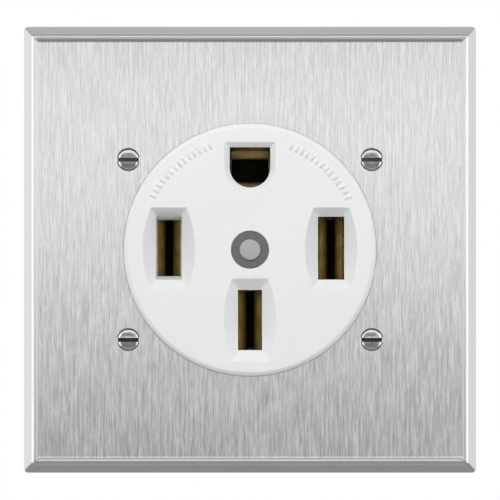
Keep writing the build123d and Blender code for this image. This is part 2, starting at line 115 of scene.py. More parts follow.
def makeWorld(settings):
    world = bpy.data.worlds.new("whiteRoom")
    scene.world = world
    world.use_nodes = True
    tree = world.node_tree
    tree.nodes.clear()
    coords = tree.nodes.new("ShaderNodeTexCoord")
    split = tree.nodes.new("ShaderNodeSeparateXYZ")
    rise = tree.nodes.new("ShaderNodeMapRange")
    rise.inputs["From Min"].default_value = -settings["skySpan"]
    rise.inputs["From Max"].default_value = settings["skySpan"]
    sky = tree.nodes.new("ShaderNodeMix")
    sky.data_type = "RGBA"
    sky.inputs[6].default_value = (*settings["skyBottom"], 1)
    sky.inputs[7].default_value = (*settings["skyTop"], 1)
    lit = tree.nodes.new("ShaderNodeBackground")
    white = tree.nodes.new("ShaderNodeBackground")
    white.inputs["Strength"].default_value = settings["whiteStrength"]
    white.inputs["Color"].default_value = (1, 1, 1, 1)
    path = tree.nodes.new("ShaderNodeLightPath")
    choose = tree.nodes.new("ShaderNodeMixShader")
    out = tree.nodes.new("ShaderNodeOutputWorld")
    tree.links.new(coords.outputs["Generated"], split.inputs[0])
    tree.links.new(split.outputs["Z"], rise.inputs["Value"])
    tree.links.new(rise.outputs["Result"], sky.inputs[0])
    tree.links.new(sky.outputs[2], lit.inputs["Color"])
    tree.links.new(path.outputs["Is Camera Ray"], choose.inputs[0])
    tree.links.new(lit.outputs[0], choose.inputs[1])
    tree.links.new(white.outputs[0], choose.inputs[2])
    tree.links.new(choose.outputs[0], out.inputs["Surface"])


def makeLamps(table):
    for name, lamp in table.items():
        data = bpy.data.lights.new(name, "AREA")
        data.shape = "RECTANGLE"
        data.size, data.size_y = lamp["size"]
        data.energy = lamp["power"]
        light = bpy.data.objects.new(name, data)
        scene.collection.objects.link(light)
        light.location = lamp["place"]
        facing = Vector(lamp["aim"]) - Vector(lamp["place"])
        light.rotation_euler = facing.to_track_quat("-Z", "Y").to_euler()
        light.visible_glossy = lamp.get("mirrored", True)
        light.visible_diffuse = lamp.get("spread", True)


def makeFloor(settings):
    mesh = bpy.data.meshes.new("paleFloor")
    shape = bmesh.new()
    bmesh.ops.create_circle(shape, cap_ends=True, segments=96, radius=settings["floorRadius"])
    bmesh.ops.translate(shape, verts=shape.verts, vec=(0, 0, -settings["floorDrop"]))
    shape.to_mesh(mesh)
    shape.free()
    floor = bpy.data.objects.new("paleFloor", mesh)
    scene.collection.objects.link(floor)
    material = bpy.data.materials.new("palePaint")
    material.use_nodes = True
    paint = material.node_tree.nodes["Principled BSDF"]
    paint.inputs["Base Color"].default_value = (*settings["floorColor"], 1)
    paint.inputs["Roughness"].default_value = settings["floorRoughness"]
    mesh.materials.append(material)


makeWorld(studio)
makeLamps(lamps)
makeFloor(studio)
scene.view_settings.view_transform = "Standard"
scene.view_settings.look = "None"
print("studio ready")


# Materials: every one is read from object coordinates, so that it stays with the piece
class Finish:  # a material under construction, with short ways to add its usual nodes
    def __init__(self, name, metallic=0.0):
        self.material = bpy.data.materials.new(name)
        self.material.use_nodes = True
        self.tree = self.material.node_tree
        self.shader = self.tree.nodes["Principled BSDF"]
        self.shader.inputs["Metallic"].default_value = metallic
        self.coords = self.tree.nodes.new("ShaderNodeTexCoord")

    def feed(self, socket, value):  # links the socket to another one, or sets its number or colour
        if isinstance(value, bpy.types.NodeSocket):
            self.tree.links.new(value, socket)
        else:
            socket.default_value = (*value, 1) if isinstance(value, tuple) else value

    def calculate(self, operation, *values):
        node = self.tree.nodes.new("ShaderNodeMath")
        node.operation = operation
        for socket, value in zip(node.inputs, values):
            self.feed(socket, value)
        return node.outputs[0]

    def noise(self, stretch, detail=3.0, roughness=0.55):  # with so many waves a metre along each axis
        mapping = self.tree.nodes.new("ShaderNodeMapping")
        mapping.inputs["Scale"].default_value = stretch
        texture = self.tree.nodes.new("ShaderNodeTexNoise")
        texture.inputs["Scale"].default_value = 1.0
        texture.inputs["Detail"].default_value = detail
        texture.inputs["Roughness"].default_value = roughness
        self.tree.links.new(self.coords.outputs["Object"], mapping.inputs["Vector"])
        self.tree.links.new(mapping.outputs["Vector"], texture.inputs["Vector"])
        return texture.outputs["Fac"]

    def cells(self, scale):  # irregular cells, each of another grey, with so many across a metre
        texture = self.tree.nodes.new("ShaderNodeTexVoronoi")
        texture.inputs["Scale"].default_value = scale
        grey = self.tree.nodes.new("ShaderNodeRGBToBW")
        self.tree.links.new(self.coords.outputs["Object"], texture.inputs["Vector"])
        self.tree.links.new(texture.outputs["Color"], grey.inputs[0])
        return grey.outputs[0]

    def spread(self, value, low, high, fromLow=0.3, fromHigh=0.7):  # stretched to run from low to high
        ramp = self.tree.nodes.new("ShaderNodeMapRange")
        ramp.inputs["From Min"].default_value = fromLow
        ramp.inputs["From Max"].default_value = fromHigh
        ramp.inputs["To Min"].default_value = low
        ramp.inputs["To Max"].default_value = high
        self.tree.links.new(value, ramp.inputs["Value"])
        return ramp.outputs["Result"]

    def blend(self, value, first, second):  # a colour between two, by the value
        mix = self.tree.nodes.new("ShaderNodeMix")
        mix.data_type = "RGBA"
        for socket, given in zip((mix.inputs[0], mix.inputs[6], mix.inputs[7]), (value, first, second)):
            self.feed(socket, given)
        return mix.outputs[2]

    def band(self, start, full, last, end):  # grows to 1 between two depths, and falls back between two
        place = self.tree.nodes.new("ShaderNodeSeparateXYZ")
        self.tree.links.new(self.coords.outputs["Object"], place.inputs[0])
        rise = self.spread(place.outputs["Y"], 0, 1, start, full)
        fall = self.spread(place.outputs["Y"], 1, 0, last, end)
        return self.calculate("MULTIPLY", rise, fall)

    def mean(self, first, second):
        return self.calculate("MULTIPLY_ADD", first, 0.5, self.calculate("MULTIPLY", second, 0.5))

    def within(self, value, amount):  # the value where the amount is 1, and its even middle where it is 0
        return self.calculate("MULTIPLY_ADD", self.calculate("SUBTRACT", value, 0.5), amount, 0.5)

    def paint(self, color, roughness, height, depth, strength):  # height is a bump of that depth in metres
        bump = self.tree.nodes.new("ShaderNodeBump")
        bump.inputs["Strength"].default_value = strength
        bump.inputs["Distance"].default_value = depth
        self.tree.links.new(color, self.shader.inputs["Base Color"])
        self.tree.links.new(roughness, self.shader.inputs["Roughness"])
        self.tree.links.new(height, bump.inputs["Height"])
        self.tree.links.new(bump.outputs["Normal"], self.shader.inputs["Normal"])
        return self.material


# Colour bands by depth, for painted shade deep in the jaws and in the screw slots and for heat tint on the
# springs: the depths in metres where each starts, is full and ends
tintAndShadeBands = {
    # painted shade: the jaws' brass turns near black with depth, where the inside of the face lies in shade
    "jawOxide": {"depths": (0.0043, 0.0064, 0.016, 0.0165), "color": (0.006, 0.005, 0.003)},
    "springBlue": {"depths": (0.01, 0.0105, 0.02, 0.0205), "color": (0.02, 0.022, 0.028)},
    # painted shade: the plate screws' slot floors and the rims of their heads turn dark grey, where shade
    # falls
    "slotGrime": {"depths": (-0.00528, -0.00514, -0.002, -0.0015), "color": (0.045, 0.045, 0.045)},
}
steelLook = {
    "dark": (0.56, 0.55, 0.54), "light": (0.91, 0.903, 0.89), "rough": (0.26, 0.42), "bump": (0.00002, 0.35),
    "fineStreaks": (3700, 400, 280), "broadStreaks": (1700, 200, 90), "anisotropy": 0.5,
    "brushed": (-0.00525, -0.0052, -0.00513, -0.00508),  # only the flat panel lies between these depths
}
plasticLook = {
    "light": (0.83, 0.832, 0.835), "shade": 0.975, "rough": (0.33, 0.42),
    "bump": (0.000012, 0.22), "grain": 2600, "cloud": 60,
}
bodyLook = {
    "dark": (0.022, 0.022, 0.025), "light": (0.045, 0.045, 0.05), "rough": (0.42, 0.6),
    "bump": (0.00003, 0.4), "grain": 1800, "flow": (90, 30, 90),
}
brassLook = {"rough": (0.3, 0.5), "bump": (0.00001, 0.2), "stain": 220, "rolled": (400, 3000, 3000)}
platedLook = {"rough": (0.14, 0.3), "bump": (0.00001, 0.2), "stain": 500, "marks": (900, 2700, 900)}
zincLook = {
    "dark": (0.42, 0.43, 0.44), "light": (0.66, 0.67, 0.68), "rough": (0.32, 0.5), "bump": (0.00001, 0.25),
    "flakes": 420, "scratch": (300, 1500, 2200),
}
coatLook = {
    "dark": (0.108, 0.108, 0.108), "light": (0.14, 0.14, 0.14), "rough": (0.48, 0.62),
    "bump": (0.00001, 0.2), "grain": 1500, "metallic": 0.0,
}
rivetFinish = {
    "dark": (0.38, 0.38, 0.38), "light": (0.44, 0.44, 0.44), "rough": (0.42, 0.55),
    "bump": (0.00001, 0.2), "grain": 1800, "metallic": 0.35,
}


def brushedSteel(look):  # stainless sheet brushed up and down: long thin streaks along Z
    finish = Finish("brushedSteel", 1.0)
    fine = finish.noise(look["fineStreaks"], 4.0, 0.65)
    broad = finish.noise(look["broadStreaks"])
    streaks = finish.within(finish.mean(fine, broad), finish.band(*look["brushed"]))
    color = finish.blend(finish.spread(streaks, 0, 1, 0.39, 0.61), look["dark"], look["light"])
    finish.shader.inputs["Anisotropic"].default_value = look["anisotropy"]
    return finish.paint(color, finish.spread(streaks, *look["rough"]), streaks, *look["bump"])


def whitePlastic(look):  # satin moulding with a faint cloud in its white
    finish = Finish("whitePlastic")
    speckle = finish.noise([look["grain"]] * 3, 2.0)
    cloud = finish.noise([look["cloud"]] * 3, 2.0)
    dark = tuple(value * look["shade"] for value in look["light"])
    color = finish.blend(finish.spread(cloud, 0, 1), dark, look["light"])
    return finish.paint(color, finish.spread(cloud, *look["rough"]), speckle, *look["bump"])


def darkPlastic(look):  # matt moulding with flow marks
    finish = Finish("darkPlastic")
    grain = finish.noise([look["grain"]] * 3)
    flow = finish.noise(look["flow"])
    color = finish.blend(finish.spread(flow, 0, 1), look["dark"], look["light"])
    return finish.paint(color, finish.spread(flow, *look["rough"]), grain, *look["bump"])


def brass(name, bright, dull, tintAndShadeBand=None):  # rolled or drawn brass, tarnished in spots
    look = brassLook
    finish = Finish(name, 1.0)
    stain = finish.noise([look["stain"]] * 3, 4.0)
    rolled = finish.noise(look["rolled"], 2.0)
    color = finish.blend(finish.spread(stain, 0, 1, 0.4, 0.75), bright, dull)
    if tintAndShadeBand:
        # painted shade: the band darkens the brass with depth, as the jaws' insides lie in shade
        color = finish.blend(finish.band(*tintAndShadeBand["depths"]), color, tintAndShadeBand["color"])
    return finish.paint(color, finish.spread(stain, *look["rough"]), rolled, *look["bump"])


def platedMetal(name, bright, dull, tintAndShadeBand=None):  # plated or dyed metal: turning marks and handling stains
    look = platedLook
    finish = Finish(name, 1.0)
    stain = finish.noise([look["stain"]] * 3)
    marks = finish.noise(look["marks"], 2.0)
    color = finish.blend(finish.spread(stain, 0, 1), dull, bright)
    if tintAndShadeBand:
        # the band darkens by depth: painted shade in the plate screws' slots and round their heads, heat tint
        # on the springs
        color = finish.blend(finish.band(*tintAndShadeBand["depths"]), color, tintAndShadeBand["color"])
    return finish.paint(color, finish.spread(stain, *look["rough"]), marks, *look["bump"])


def galvanised(look):  # zinc-coated strap: crystal flakes of slightly different grey
    finish = Finish("galvanised", 1.0)
    flakes = finish.cells(look["flakes"])
    scratch = finish.noise(look["scratch"])
    color = finish.blend(finish.spread(flakes, 0, 1, 0.1, 0.9), look["dark"], look["light"])
    return finish.paint(color, finish.spread(flakes, *look["rough"], 0.1, 0.9), scratch, *look["bump"])


def evenGrain(name, look):  # a fine even grain, for the dark coat and the satin rivet
    finish = Finish(name, look["metallic"])
    grain = finish.noise([look["grain"]] * 3)
    color = finish.blend(finish.spread(grain, 0, 1), look["dark"], look["light"])
    return finish.paint(color, finish.spread(grain, *look["rough"]), grain, *look["bump"])


finishes = {
    "stainless_plate": brushedSteel(steelLook),
    "white_face": whitePlastic(plasticLook),
    "dark_body": darkPlastic(bodyLook),
    "galvanised_strap": galvanised(zincLook),
    "plated_screw": platedMetal("platedScrew", (0.78, 0.78, 0.77), (0.6, 0.6, 0.59), tintAndShadeBands["slotGrime"]),
    "dark_washer": evenGrain("darkCoat", coatLook),
    "rivet_metal": evenGrain("satinAluminium", rivetFinish),
    "brass": brass("brass", (0.85, 0.73, 0.4), (0.54, 0.45, 0.22), tintAndShadeBands["jawOxide"]),
    "spring_steel": platedMetal("springSteel", (0.45, 0.45, 0.46), (0.3, 0.3, 0.31), tintAndShadeBands["springBlue"]),
    "lug_metal": brass("lugMetal", (0.66, 0.55, 0.3), (0.42, 0.33, 0.16)),
    "brass_screw": brass("brassScrew", (0.78, 0.6, 0.28), (0.55, 0.41, 0.18)),
    "silver_screw": platedMetal("silverScrew", (0.72, 0.72, 0.72), (0.55, 0.55, 0.54)),
    "green_screw": platedMetal("greenScrew", (0.05, 0.34, 0.1), (0.03, 0.22, 0.06)),
}
for row in frame["record"]["subparts"]:
    mesh = nodes[row["node"]].data
    mesh.materials.clear()
    mesh.materials.append(finishes[row["material_slot"]])


# Shapes are drawn in millimetres, in the frame's own axes, and scaled to metres when they become pieces
def toMesh(shape):
    bmesh.ops.recalc_face_normals(shape, faces=shape.faces)
    mesh = bpy.data.meshes.new("shape")
    shape.to_mesh(mesh)
    shape.free()
    return mesh


def loft(loops):  # a closed solid through loops of equally many points
    shape = bmesh.new()
    rings = [[shape.verts.new(point) for point in loop] for loop in loops]
    for near, far in zip(rings, rings[1:]):
        for k in range(len(near)):
            after = (k + 1) % len(near)
            shape.faces.new((near[k], near[after], far[after], far[k]))
    shape.faces.new(list(reversed(rings[0])))
    shape.faces.new(rings[-1])
    return toMesh(shape)


def lathe(profile, centre=(0, 0), steps=96, closed=False):  # points of the profile are (radius, depth)
    shape = bmesh.new()
    rings = []
    for radius, depth in profile:
        turns = [2 * math.pi * k / steps for k in range(steps)] if radius > 0 else [0]
        ring = [(centre[0] + radius * math.cos(a), depth, centre[1] + radius * math.sin(a)) for a in turns]
        rings.append([shape.verts.new(point) for point in ring])
    pairs = list(zip(rings, rings[1:]))
    if closed:
        pairs.append((rings[-1], rings[0]))
    for near, far in pairs:
        for k in range(steps):
            after = k + 1
            corners = [near[k % len(near)], near[after % len(near)], far[after % len(far)], far[k % len(far)]]
            shape.faces.new(list(dict.fromkeys(corners)))
    return toMesh(shape)


def together(meshes):  # several meshes as one
    shape = bmesh.new()
    for mesh in meshes:
        shape.from_mesh(mesh)
    return toMesh(shape)


def evaluated(holder):  # the object's mesh with its modifiers carried out, and the object gone
    view = bpy.context.evaluated_depsgraph_get()
    result = bpy.data.meshes.new_from_object(holder.evaluated_get(view))
    bpy.data.objects.remove(holder)
    return result


def combine(mesh, tool, operation):  # adds the tool solid to the mesh or takes it away
    base = bpy.data.objects.new("base", mesh)
    other = bpy.data.objects.new("tool", tool)
    scene.collection.objects.link(base)
    scene.collection.objects.link(other)
    step = base.modifiers.new("combine", "BOOLEAN")
    step.operation = operation
    step.object = other
    step.solver = "EXACT"
    result = evaluated(base)
    bpy.data.objects.remove(other)
    return result


def shadeSoftly(mesh, sharpAngle=32):  # smooth where the surface is round, crisp where it folds
    mesh.shade_smooth()
    mesh.set_sharp_from_angle(angle=math.radians(sharpAngle))
    holder = bpy.data.objects.new("holder", mesh)
    scene.collection.objects.link(holder)
    weigh = holder.modifiers.new("weigh", "WEIGHTED_NORMAL")
    weigh.keep_sharp = True
    return evaluated(holder)


def makePiece(name, mesh, slotName, replaced=()):
    mesh.name = name
    mesh.materials.clear()
    mesh.materials.append(finishes[slotName])
    piece = bpy.data.objects.new(name, mesh)
    scene.collection.objects.link(piece)
    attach(piece, "root")
    if replaced:
        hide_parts(*replaced)


def joinedName(node):
    return "".join(word.capitalize() for word in node.split("_"))


def toMetres(mesh):
    mesh.transform(Matrix.Scale(mm, 4))
    return mesh


def boxInMm(node):
    low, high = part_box(node)
    return low / mm, high / mm


# Wall plate: one pressed sheet, with a soft crest round a slightly sunk panel and a dimple for each screw
plateLow, plateHigh = boxInMm("wall_plate")
faceLow, faceHigh = boxInMm("front_housing")
plateLook = {
    "width": plateHigh.x - plateLow.x,
    "height": plateHigh.z - plateLow.z,
    "depth": plateHigh.y - plateLow.y,
    "sheet": 0.9,
    "lean": 2.35,  # how far the rim slopes inward over the plate's depth
    "crestRound": 1.3,
    "crestEnd": 4.35,  # from the plate's edge to the flat panel
    "panelDrop": 0.32,  # from the crest back to the panel
    "corner": 1.1,
    "insideCorner": 0.6,
    "opening": (faceHigh.x - faceLow.x) / 2 + 0.05,
    "openingRound": 0.08,
    "sinkRadius": 2.95,
    "sinkLip": 0.1,
    "sinkSlope": math.tan(math.radians(41)),
    "holeRadius": 1.9,
}


def roundedLoop(width, height, corner, depth, steps=10):
    points = []
    for quarter, (sideX, sideZ) in enumerate([(1, 1), (-1, 1), (-1, -1), (1, -1)]):
        for k in range(steps + 1):
            angle = math.radians(90 * quarter + 90 * k / steps)
            x = sideX * (width / 2 - corner) + corner * math.cos(angle)
            z = sideZ * (height / 2 - corner) + corner * math.sin(angle)
            points.append((x, depth, z))
    return points


def plateSections(look):  # (margin, depth, corner radius) from the panel's back, round the rim, to its front
    slope = math.atan(look["lean"] / look["depth"])
    turn = math.pi / 2 - slope
    panelBack = look["panelDrop"] - look["depth"] + look["sheet"]
    rimWall = look["sheet"] / math.cos(slope)
    arcEnd = look["lean"] + look["crestRound"] * math.tan(turn / 2)
    sections = [
        (rimWall - panelBack * math.tan(slope), panelBack, look["insideCorner"]),
        (rimWall, 0, look["insideCorner"]),
        (0.12, 0, look["corner"]),
        (0, -0.12, look["corner"]),
    ]
    for k in range(9):
        angle = turn * (1 - k / 8)
        margin = arcEnd - look["crestRound"] * math.sin(angle)
        depth = look["crestRound"] * (1 - math.cos(angle)) - look["depth"]
        sections.append((margin, depth, look["corner"] + (look["insideCorner"] - look["corner"]) * k / 8))
    for k in range(1, 9):
        t = k / 8
        ease = 1 - (1 - t) * (1 - t)
        margin = arcEnd + (look["crestEnd"] - arcEnd) * t
        sections.append((margin, look["panelDrop"] * ease - look["depth"], look["insideCorner"]))
    return sections


def makePlate(look):
    loops = []
    for margin, depth, corner in plateSections(look):
        loops.append(roundedLoop(look["width"] - 2 * margin, look["height"] - 2 * margin, corner, depth))
    panelFront = look["panelDrop"] - look["depth"]
    panelBack = panelFront + look["sheet"]
    dimpleFloor = panelFront + (look["sinkRadius"] - look["holeRadius"]) / look["sinkSlope"]
    wall = look["sheet"] / math.cos(math.atan(look["sinkSlope"]))
    bumps, cuts = [], []
    opening, soft = look["opening"], look["openingRound"]
    cuts.append(lathe([
        (0, panelFront - 2), (opening + soft, panelFront - 2), (opening + soft, panelFront),
        (opening + soft * 0.3, panelFront + soft * 0.3), (opening, panelFront + soft), (opening, 1), (0, 1),
    ], steps=192))
    for node in ("plate_screw_1", "plate_screw_2", "plate_screw_3", "plate_screw_4"):
        low, high = boxInMm(node)
        centre = ((low.x + high.x) / 2, (low.z + high.z) / 2)
        sink, lip, hole = look["sinkRadius"], look["sinkLip"], look["holeRadius"]
        wide = hole + wall + (dimpleFloor - panelBack) * look["sinkSlope"]
        bumps.append(lathe([
            (0, panelBack - 0.3), (wide + 0.3 * look["sinkSlope"], panelBack - 0.3),
            (hole + wall, dimpleFloor), (0, dimpleFloor),
        ], centre, 64))
        cuts.append(lathe([
            (0, panelFront - 2), (sink + lip, panelFront - 2), (sink + lip, panelFront),
            (sink + lip * 0.3, panelFront + lip * 0.3), (sink - 0.1, panelFront + lip),
            (hole, dimpleFloor), (hole, dimpleFloor + 2), (0, dimpleFloor + 2),
        ], centre, 64))
    mesh = combine(loft(loops), together(bumps), "UNION")
    mesh = combine(mesh, together(cuts), "DIFFERENCE")
    makePiece("pressedPlate", shadeSoftly(toMetres(mesh)), "stainless_plate", ["wall_plate"])


makePlate(plateLook)
print("plate ready")


# Front housing: moulded disc with a round rim, barrel-shaped lead-ins and sharp-cornered blade windows
tickHeight = 0.45  # the raised ticks end at the solid's front, and the face lies that far behind it
faceLook = {
    "radius": (faceHigh.x - faceLow.x) / 2,
    "front": faceLow.y + tickHeight,
    "rimWidth": 1.1,
    "rimDepth": 0.75,
    "rimBulge": 0.1,
    "hubRadius": 27.75,
    "hubFront": -1.5,
    "leadDepth": 2.6,
    "edgeRound": 0.08,
    "recessRadius": 4.85,
    "recessDepth": 1.16,
    "rivetHole": 2.35,
    "ledge": 0.45,  # how far the left window narrows on each side
    "ledgeDepth": 7.0,
}
hotSlot = {"window": (6.7, 16.1), "lead": (9.0, 9.9, 13.4, 20.8)}  # lead: top, bottom, middle, height
neutralSlot = {"window": (6.15, 15.4), "lead": (9.3, 9.7, 13.45, 21.2)}
bladeSlots = {
    "hotLeft": {**hotSlot, "centre": (-20.75, 0.4), "ledge": True},
    "hotRight": {**hotSlot, "centre": (20.75, 0.4), "ledge": False},
    "neutral": {**neutralSlot, "centre": (0, -18.0), "ledge": False},
}
groundSlot = {"width": 10.4, "top": 26.2, "bottom": 15.9, "lead": 1.3}


def bowedSide(start, middle, end, count):  # points on the arc through three points, without its last one
    (x1, z1), (x2, z2), (x3, z3) = start, middle, end
    spin = 2 * (x1 * (z2 - z3) + x2 * (z3 - z1) + x3 * (z1 - z2))
    if abs(spin) < 1e-9:
        return [(x1 + (x3 - x1) * k / count, z1 + (z3 - z1) * k / count) for k in range(count)]
    sums = [x1 * x1 + z1 * z1, x2 * x2 + z2 * z2, x3 * x3 + z3 * z3]
    cx = (sums[0] * (z2 - z3) + sums[1] * (z3 - z1) + sums[2] * (z1 - z2)) / spin
    cz = (sums[0] * (x3 - x2) + sums[1] * (x1 - x3) + sums[2] * (x2 - x1)) / spin
    radius = math.hypot(x1 - cx, z1 - cz)
    first = math.atan2(z1 - cz, x1 - cx)
    last = math.atan2(z3 - cz, x3 - cx)
    sweep = (last - first + math.pi) % (2 * math.pi) - math.pi
    angles = [first + sweep * k / count for k in range(count)]
    return [(cx + radius * math.cos(a), cz + radius * math.sin(a)) for a in angles]


def barrel(top, bottom, middle, height, side=20, across=6):
    half = height / 2
    corners = [(-top / 2, half), (top / 2, half), (bottom / 2, -half), (-bottom / 2, -half)]
    points = bowedSide(corners[0], (0, half), corners[1], across)
    points += bowedSide(corners[1], (middle / 2, 0), corners[2], side)
    points += bowedSide(corners[2], (0, -half), corners[3], across)
    points += bowedSide(corners[3], (-middle / 2, 0), corners[0], side)
    return points


def taperedBarrel(lead, inset):  # the barrel outline moved inward all round
    top, bottom, middle, tall = lead
    half = tall / 2
    rise, drop = (top / 2) ** 2 - (middle / 2) ** 2, (bottom / 2) ** 2 - (middle / 2) ** 2
    cz = (rise - drop) / (4 * half)
    cx = (rise + half * half - 2 * half * cz) / (2 * (top / 2 - middle / 2))
    radius = math.hypot(middle / 2 - cx, cz) - inset
    half -= inset

    def reach(z):
        return cx + math.sqrt(radius * radius - (z - cz) ** 2)

    return barrel(2 * reach(half), 2 * reach(-half), 2 * reach(0), 2 * half)


def slotCutters(look, slot):
    cx, cz = slot["centre"]
    width, height = slot["window"]
    edge, front = look["edgeRound"], look["front"]
    slope = (slot["lead"][3] - height) / 2 / look["leadDepth"]
    reach = (slot["lead"][2] - width) / 2 / slope + 0.2

    def placed(outline, depth):
        return [(cx + x, depth, cz + z) for x, z in outline]

    loops = []
    for inset, depth in [(-edge, -1), (-edge, 0), (edge * slope, edge), (reach * slope, reach)]:
        loops.append(placed(taperedBarrel(slot["lead"], inset), front + depth))
    window = barrel(width, width, width, height)
    hole = [placed(window, front - 1)]
    if slot["ledge"]:
        inner = barrel(*[width - 2 * look["ledge"]] * 3, height - 4 * look["ledge"])
        hole += [placed(window, front + look["leadDepth"]), placed(inner, front + look["ledgeDepth"])]
        window = inner
    hole.append(placed(window, 1))
    return [loft(loops), loft(hole)]


def groundCutter(look, slot):
    def outline(spread, depth, steps=32):
        half = slot["width"] / 2 + spread
        line = slot["bottom"] + slot["width"] / 2
        points = [(half, depth, slot["top"] + spread), (-half, depth, slot["top"] + spread)]
        for k in range(steps + 1):
            angle = math.pi * (1 + k / steps)
            points.append((half * math.cos(angle), depth, line + half * math.sin(angle)))
        return points

    front, lead, edge = look["front"], slot["lead"], look["edgeRound"]
    return loft([
        outline(lead + edge, front - 1), outline(lead + edge, front),
        outline(lead + edge * 0.35, front + edge * 0.2),
        outline(lead - 0.2, front + 0.2), outline(0, front + lead), outline(0, 1),
    ])


def makeFace(look):
    radius, front, rim, drop = look["radius"], look["front"], look["rimWidth"], look["rimDepth"]
    profile = [(0, front), (radius - rim - 0.05, front)]
    for k in range(9):
        t = k / 8
        bulge = look["rimBulge"] * 4 * t * (1 - t)
        profile.append((radius - rim + rim * t, front + 0.02 + (drop - 0.02) * t - bulge))
    hub, hubFront = look["hubRadius"], look["hubFront"]
    profile += [(radius, hubFront), (hub, hubFront), (hub, 0), (0, 0)]
    recess, hole, floor = look["recessRadius"], look["rivetHole"], front + look["recessDepth"]
    cuts = [lathe([
        (0, front - 1), (recess + 0.15, front - 1), (recess + 0.15, front), (recess + 0.04, front + 0.05),
        (recess, front + 0.15), (recess, floor), (hole, floor), (hole, 1), (0, 1),
    ])]
    cuts.append(groundCutter(look, groundSlot))
    leads, holes = zip(*[slotCutters(look, slot) for slot in bladeSlots.values()])
    mesh = combine(lathe(profile, steps=192), together(cuts), "DIFFERENCE")
    mesh = combine(mesh, together(leads), "DIFFERENCE")
    mesh = combine(mesh, together(holes), "DIFFERENCE")
    makePiece("mouldedFace", shadeSoftly(toMetres(mesh)), "white_face", ["front_housing"])


makeFace(faceLook)
print("face ready")


# Geometry Nodes: a helical thread wound on a screw's core, and short raised ticks along an arc of the face
class Tree:  # a node tree under construction, with named inputs
    def __init__(self, name, inputs):
        self.tree = bpy.data.node_groups.new(name, "GeometryNodeTree")
        self.tree.interface.new_socket("Geometry", in_out="INPUT", socket_type="NodeSocketGeometry")
        for label, kind in inputs:
            self.tree.interface.new_socket(label, in_out="INPUT", socket_type=kind)
        self.tree.interface.new_socket("Geometry", in_out="OUTPUT", socket_type="NodeSocketGeometry")
        self.source = self.tree.nodes.new("NodeGroupInput")
        self.target = self.tree.nodes.new("NodeGroupOutput")

    def add(self, kind, values=None, **settings):  # a node, with its settings, linked or given inputs
        node = self.tree.nodes.new(kind)
        for key, value in settings.items():
            setattr(node, key, value)
        for key, value in (values or {}).items():
            if isinstance(value, bpy.types.NodeSocket):
                self.tree.links.new(value, node.inputs[key])
            else:
                node.inputs[key].default_value = value
        return node

    def math(self, operation, first, second):
        node = self.add("ShaderNodeMath", {0: first, 1: second}, operation=operation)
        return node.outputs[0]

    def given(self, label):
        return self.source.outputs[label]

    def finish(self, geometry):
        real = self.add("GeometryNodeRealizeInstances", {"Geometry": geometry})
        dressed = self.add("GeometryNodeSetMaterial", {
            "Geometry": real.outputs[0], "Material": self.given("Material"),
        })
        self.tree.links.new(dressed.outputs[0], self.target.inputs[0])
        return self.tree


def grown(mesh, tree, values):  # the mesh after a node tree with these input values
    holder = bpy.data.objects.new("holder", mesh)
    scene.collection.objects.link(holder)
    step = holder.modifiers.new("grow", "NODES")
    step.node_group = tree
    for item in tree.interface.items_tree:
        if item.in_out == "INPUT" and item.name in values:
            step[item.identifier] = values[item.name]
    return evaluated(holder)


def threadTree():
    tree = Tree("threadCoil", [
        ("Radius", "NodeSocketFloat"), ("Pitch", "NodeSocketFloat"), ("Turns", "NodeSocketFloat"),
        ("Ridge", "NodeSocketFloat"), ("Place", "NodeSocketVector"), ("Turn", "NodeSocketVector"),
        ("Material", "NodeSocketMaterial"),
    ])
    line = tree.math("SUBTRACT", tree.given("Radius"), tree.given("Ridge"))
    height = tree.math("MULTIPLY", tree.given("Pitch"), tree.given("Turns"))
    coil = tree.add("GeometryNodeCurveSpiral", {
        "Resolution": 28, "Rotations": tree.given("Turns"), "Start Radius": line, "End Radius": line,
        "Height": height,
    })
    upright = tree.add("GeometryNodeSetCurveNormal", {"Curve": coil.outputs[0]}, mode="Z_UP")
    ridge = tree.add("GeometryNodeCurvePrimitiveCircle", {
        "Resolution": 6, "Radius": tree.given("Ridge"),
    }, mode="RADIUS")
    swept = tree.add("GeometryNodeCurveToMesh", {
        "Curve": upright.outputs[0], "Profile Curve": ridge.outputs[0], "Fill Caps": True,
    })
    moved = tree.add("GeometryNodeTransform", {
        "Geometry": swept.outputs[0], "Translation": tree.given("Place"), "Rotation": tree.given("Turn"),
    })
    joined = tree.add("GeometryNodeJoinGeometry")
    tree.tree.links.new(moved.outputs[0], joined.inputs[0])
    tree.tree.links.new(tree.given("Geometry"), joined.inputs[0])
    return tree.finish(joined.outputs[0])


def tickTree():
    tree = Tree("arcTicks", [
        ("Radius", "NodeSocketFloat"), ("Start Angle", "NodeSocketFloat"), ("Sweep Angle", "NodeSocketFloat"),
        ("Count", "NodeSocketInt"), ("Size", "NodeSocketVector"), ("Top", "NodeSocketFloat"),
        ("Place", "NodeSocketVector"), ("Material", "NodeSocketMaterial"),
    ])
    arc = tree.add("GeometryNodeCurveArc", {
        "Resolution": tree.given("Count"), "Radius": tree.given("Radius"),
        "Start Angle": tree.given("Start Angle"), "Sweep Angle": tree.given("Sweep Angle"),
    }, mode="RADIUS")
    points = tree.add("GeometryNodeCurveToPoints", {"Curve": arc.outputs[0]}, mode="EVALUATED")
    tick = tree.add("GeometryNodeMeshCone", {
        "Vertices": 4, "Radius Top": tree.given("Top"), "Radius Bottom": math.sqrt(0.5), "Depth": 1.0,
    })
    square = tree.add("GeometryNodeTransform", {
        "Geometry": tick.outputs[0], "Rotation": (math.radians(90), math.radians(45), 0),
    })
    placed = tree.add("GeometryNodeInstanceOnPoints", {
        "Points": points.outputs["Points"], "Instance": square.outputs[0],
        "Rotation": points.outputs["Rotation"], "Scale": tree.given("Size"),
    })
    upright = tree.add("GeometryNodeTransform", {
        "Geometry": placed.outputs[0], "Translation": tree.given("Place"),
        "Rotation": (math.radians(90), 0, 0),
    })
    return tree.finish(upright.outputs[0])


threads = threadTree()
ticks = tickTree()


